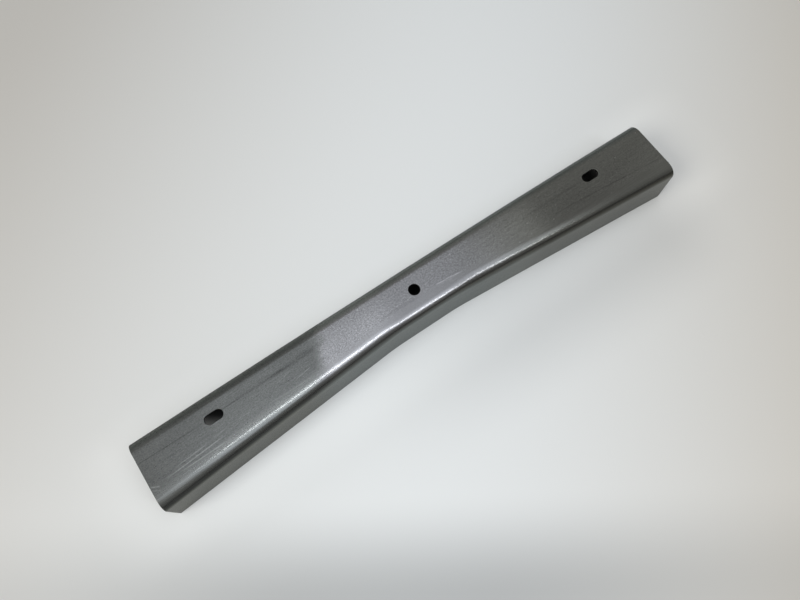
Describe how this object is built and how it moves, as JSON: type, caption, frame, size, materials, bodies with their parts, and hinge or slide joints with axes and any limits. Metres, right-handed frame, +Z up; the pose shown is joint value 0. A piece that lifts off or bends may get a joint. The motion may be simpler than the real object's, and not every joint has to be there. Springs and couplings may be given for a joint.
{
  "type": "door security bar",
  "caption": "Pressed sheet-steel channel with a waist in one flange, a slot near each end of the web and a hole at its centre.",
  "frame": {"origin": "middle of the bar's box, on the plane of the flanges' lower edges", "axes": "+X along the bar, +Y towards the straight flange, +Z up from the flanges' lower edges to the web"},
  "size_m": [0.51, 0.0616, 0.0465],
  "materials": {
    "bare_steel": "bare cold-rolled sheet, dull, with a film of oil, faint rolling lines and light handling scratches"
  },
  "bodies": {
    "root": {"channel": "bare_steel"}
  },
  "joints": []
}
